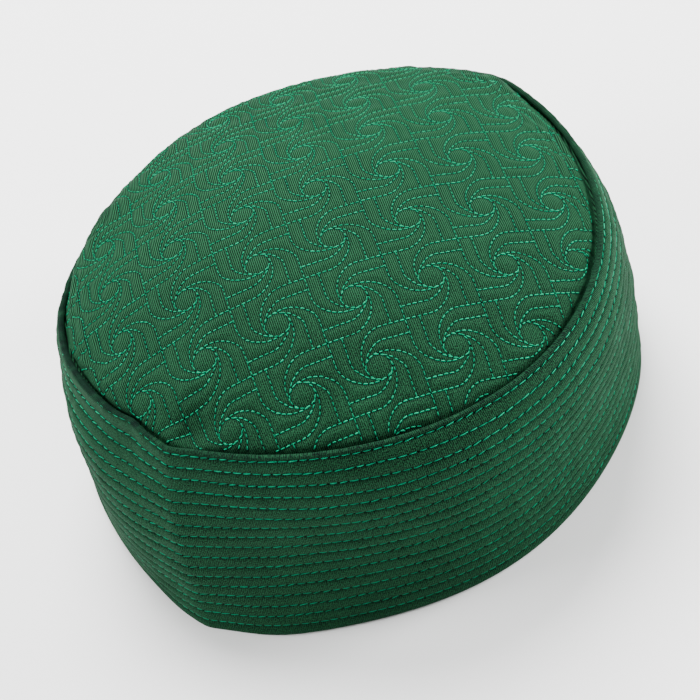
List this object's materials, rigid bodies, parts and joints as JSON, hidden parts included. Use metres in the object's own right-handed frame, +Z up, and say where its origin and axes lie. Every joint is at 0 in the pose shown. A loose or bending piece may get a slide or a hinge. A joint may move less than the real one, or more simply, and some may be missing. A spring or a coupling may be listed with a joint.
{
  "type": "kufi",
  "caption": "Round brimless cloth cap with a tall stitched band and a padded, quilted, gently domed crown; it keeps its form and rests on its rim",
  "frame": {"origin": "on the surface the hat rests on, under the middle of its box", "axes": "+Z up out of the crown; -Y to the pressed front fold; +X to the wearer's left when the fold is worn in front"},
  "size_m": [0.1936, 0.1964, 0.0919],
  "materials": {
    "crown_cloth": "matte ribbed cloth with a slight sheen, quilted",
    "band_cloth": "matte ribbed cloth with a slight sheen, stitched in rows"
  },
  "bodies": {
    "root": {"crown": "crown_cloth", "band": "band_cloth"}
  },
  "joints": []
}
